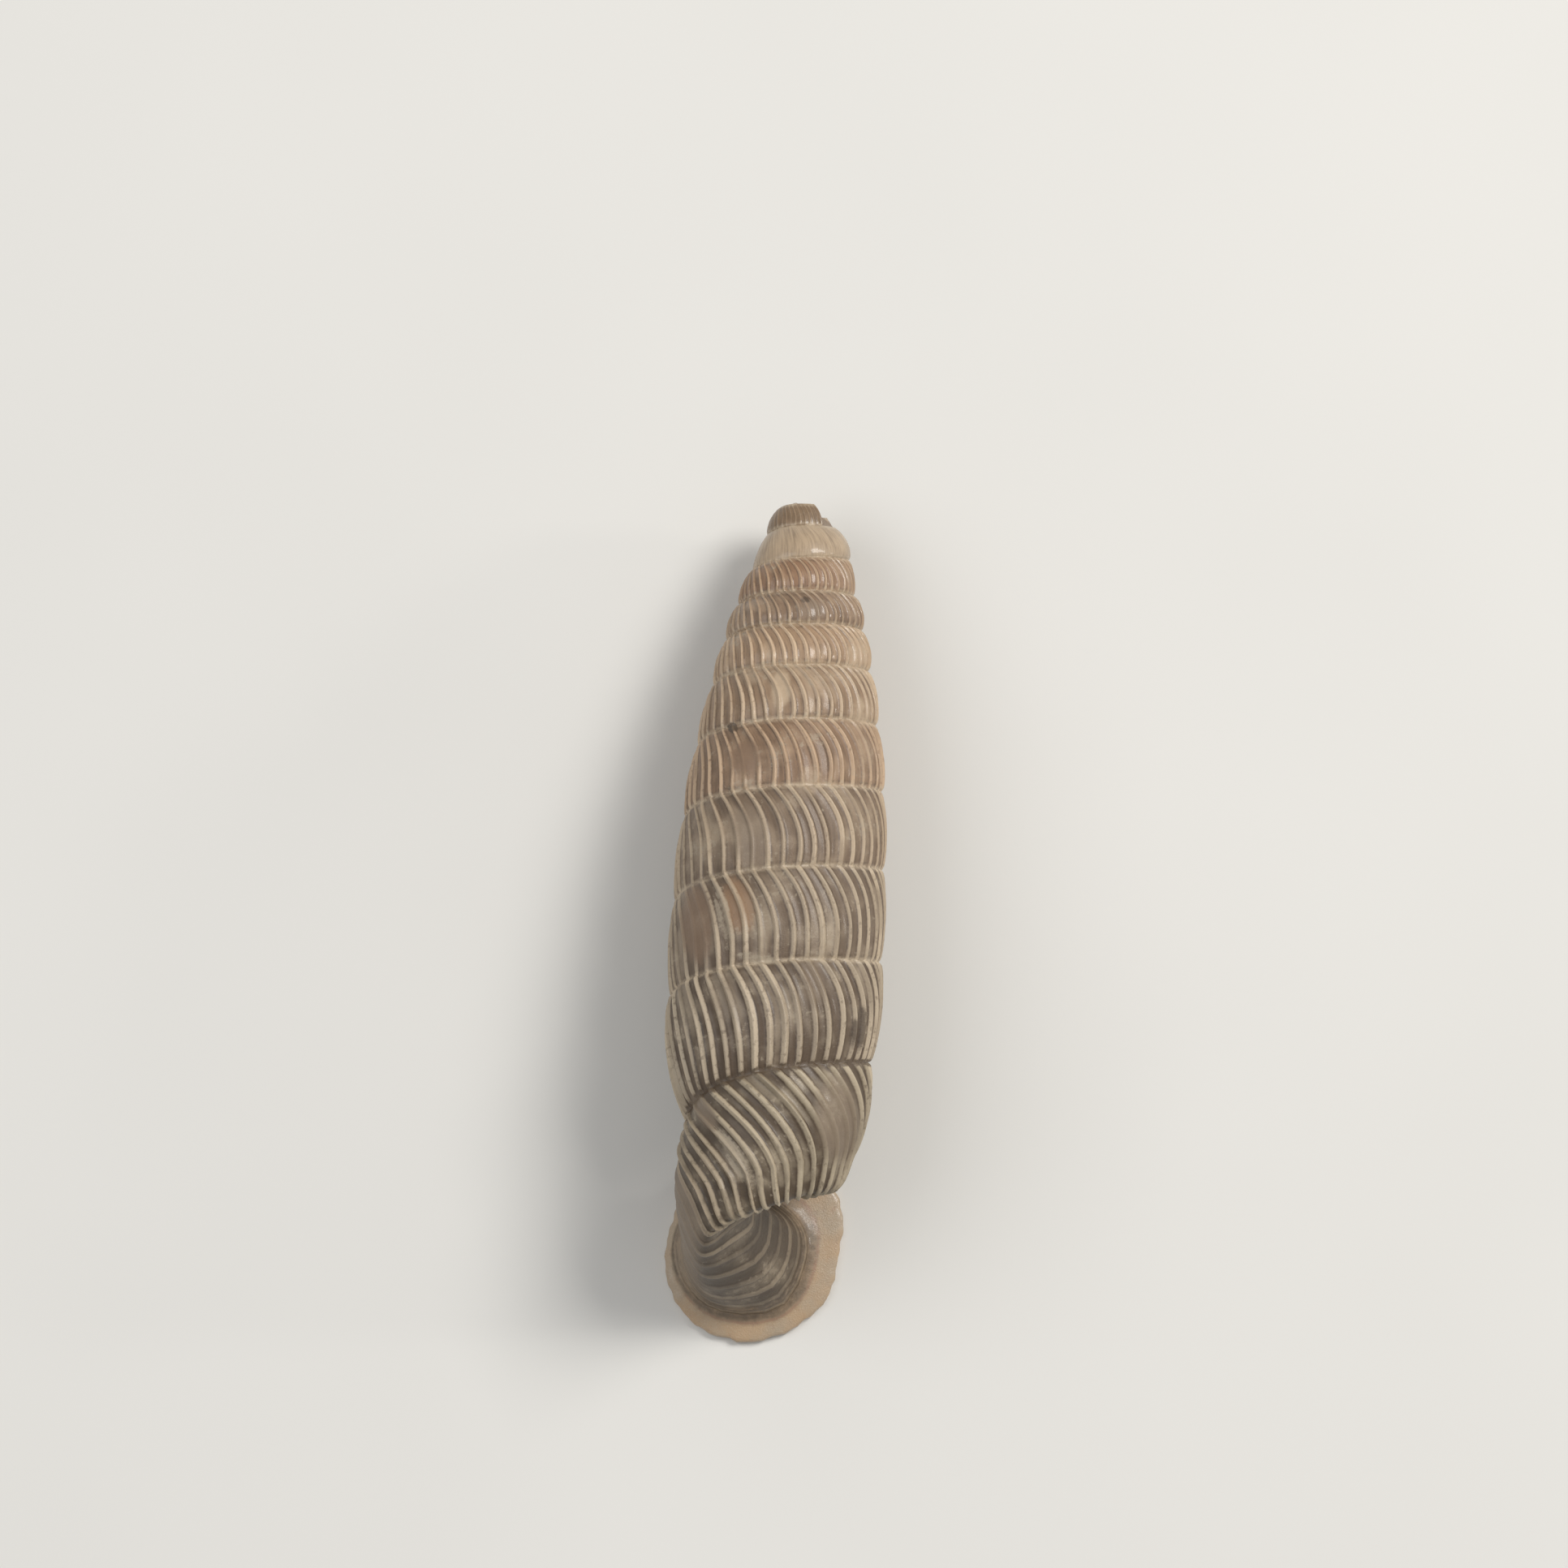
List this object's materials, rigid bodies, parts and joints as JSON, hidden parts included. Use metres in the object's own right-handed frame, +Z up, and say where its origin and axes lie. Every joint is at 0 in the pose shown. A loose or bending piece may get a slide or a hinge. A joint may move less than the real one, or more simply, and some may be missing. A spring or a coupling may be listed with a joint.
{
  "type": "land snail shell",
  "caption": "Long spindle-shaped land snail shell with slanting ribs, a broken-off tip, a short free neck and a round flared lip, lying on its belly and lip.",
  "frame": {"origin": "middle of the bounding box at the level of the ground that the shell lies on", "axes": "+Y runs towards the tip, +Z up from the ground, +X to the right when seen from above with the tip away from the viewer"},
  "size_m": [0.0052, 0.02, 0.0056],
  "materials": {
    "shell_wall": "satin"
  },
  "bodies": {
    "root": {"shell": "shell_wall"}
  },
  "joints": []
}
